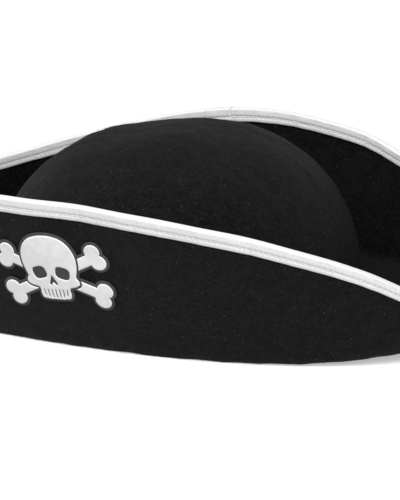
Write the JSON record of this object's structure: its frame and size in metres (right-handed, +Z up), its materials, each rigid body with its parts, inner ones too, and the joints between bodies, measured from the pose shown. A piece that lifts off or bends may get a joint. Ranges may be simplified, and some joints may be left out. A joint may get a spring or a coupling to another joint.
{
  "type": "pirate hat",
  "caption": "Felt pirate hat with an oval crown, a brim turned up front and back, white bound edge, and a skull and crossed bones badge on the front flap",
  "frame": {"origin": "centre of the head opening, on the plane that the hat rests on", "axes": "+X from tip to tip, -Y out of the front flap with the badge, +Z up through the crown"},
  "size_m": [0.3964, 0.2445, 0.085],
  "materials": {
    "black_felt": "thick pressed polyester felt, black, fuzzy and matt",
    "white_tape": "woven white binding tape, folded over the edge",
    "white_thread": "white polyester sewing thread",
    "badge_backing": "thin dark grey non-woven sheet",
    "badge_print": "white soft plastisol print, matt",
    "band_ribbon": "black grosgrain ribbon",
    "black_thread": "black polyester sewing thread",
    "label_satin": "white woven satin, blank"
  },
  "bodies": {
    "root": {"crown": "black_felt", "brim": "black_felt", "left_tip_binding": "white_tape", "right_tip_binding": "white_tape", "left_tip_seam_thread": "white_thread", "right_tip_seam_thread": "white_thread", "sweatband": "band_ribbon", "sweatband_join": "band_ribbon", "sweatband_thread": "black_thread"},
    "front_flap": {"front_flap": "black_felt", "front_binding": "white_tape", "front_seam_thread": "white_thread", "badge_backing": "badge_backing", "badge_skull": "badge_print", "badge_bones": "badge_print"},
    "back_flap": {"back_flap": "black_felt", "back_binding": "white_tape", "binding_join": "white_tape", "back_seam_thread": "white_thread"},
    "care_label": {"care_label": "label_satin"}
  },
  "joints": [
    {"name": "front_flap_fold", "type": "hinge", "parent": "root", "child": "front_flap", "pos_m": [0, -0.1125, 0.00943], "axis": [1, 0, 0], "range_deg": [0, 30], "stiffness_Nm_per_rad": 0.08},
    {"name": "back_flap_fold", "type": "hinge", "parent": "root", "child": "back_flap", "pos_m": [0, 0.10928, 0.00977], "axis": [-1, 0, 0], "range_deg": [0, 30], "stiffness_Nm_per_rad": 0.08},
    {"name": "care_label_swing", "type": "hinge", "parent": "root", "child": "care_label", "pos_m": [0, 0.094, 0.032], "axis": [-1, 0, 0], "range_deg": [0, 110]}
  ]
}
